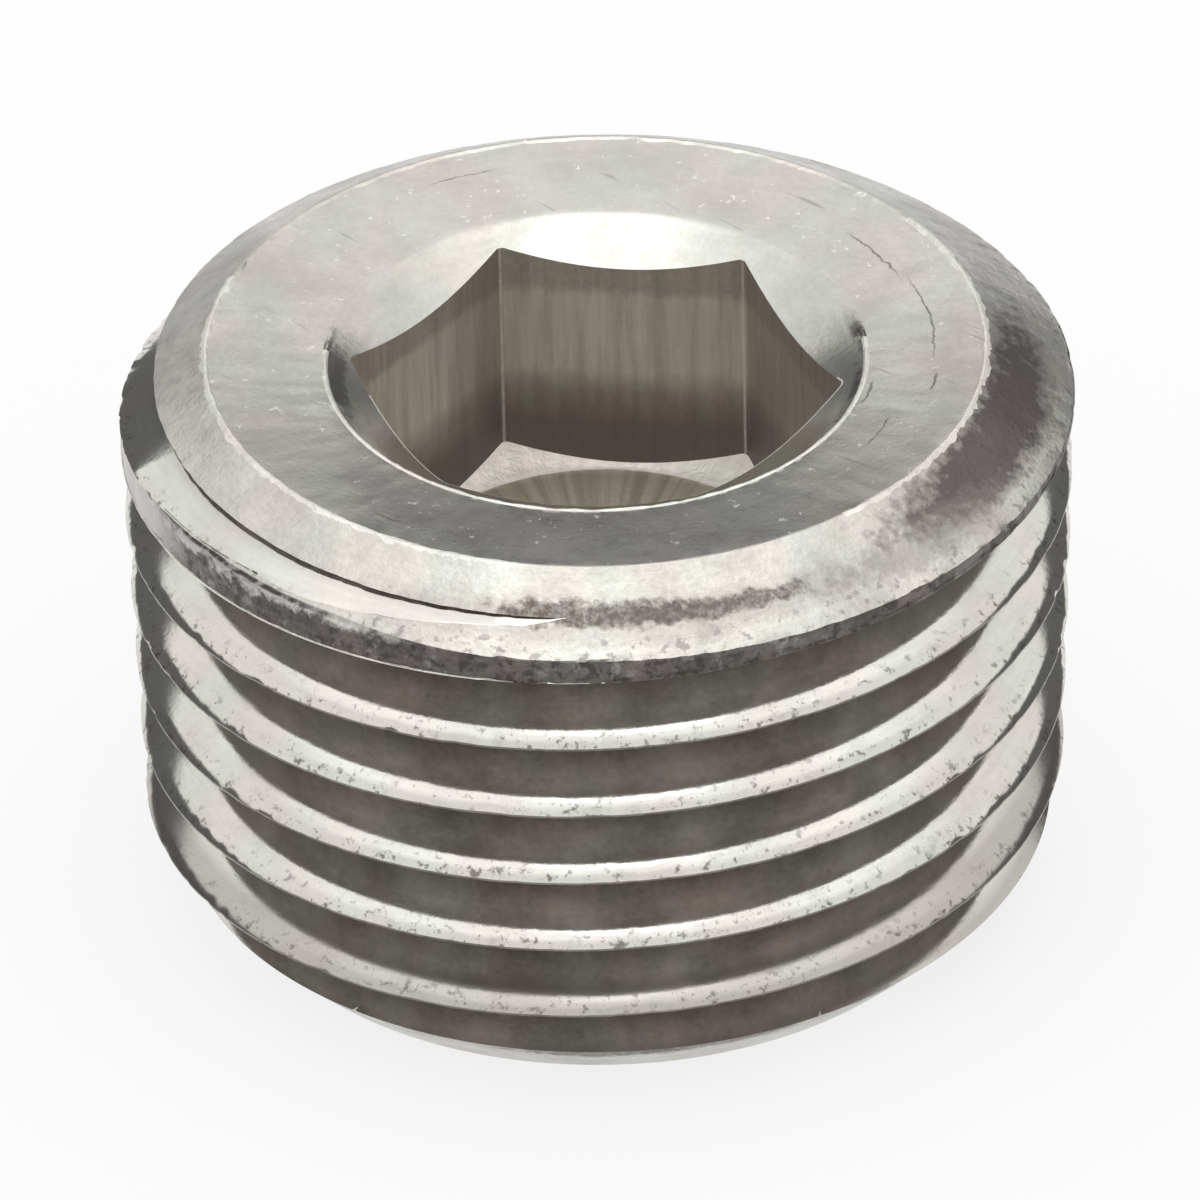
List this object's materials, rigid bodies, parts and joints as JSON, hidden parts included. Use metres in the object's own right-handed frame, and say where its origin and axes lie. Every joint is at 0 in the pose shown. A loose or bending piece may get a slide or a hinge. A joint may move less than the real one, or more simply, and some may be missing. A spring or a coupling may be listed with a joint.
{
  "type": "hex socket pipe plug",
  "caption": "Short tapered pipe plug with an outside thread, a chamfered and slightly dished top and a deep hexagon socket, to screw into a port and seal it.",
  "frame": {"origin": "centre of the small end's flat face, on which the plug stands", "axes": "+Z along the thread's axis, out of the socket's mouth; two of the socket's flats run along X"},
  "size_m": [0.0212, 0.0211, 0.0134],
  "materials": {
    "stainless_steel": "machined"
  },
  "bodies": {
    "root": {"socket_plug": "stainless_steel"}
  },
  "joints": []
}
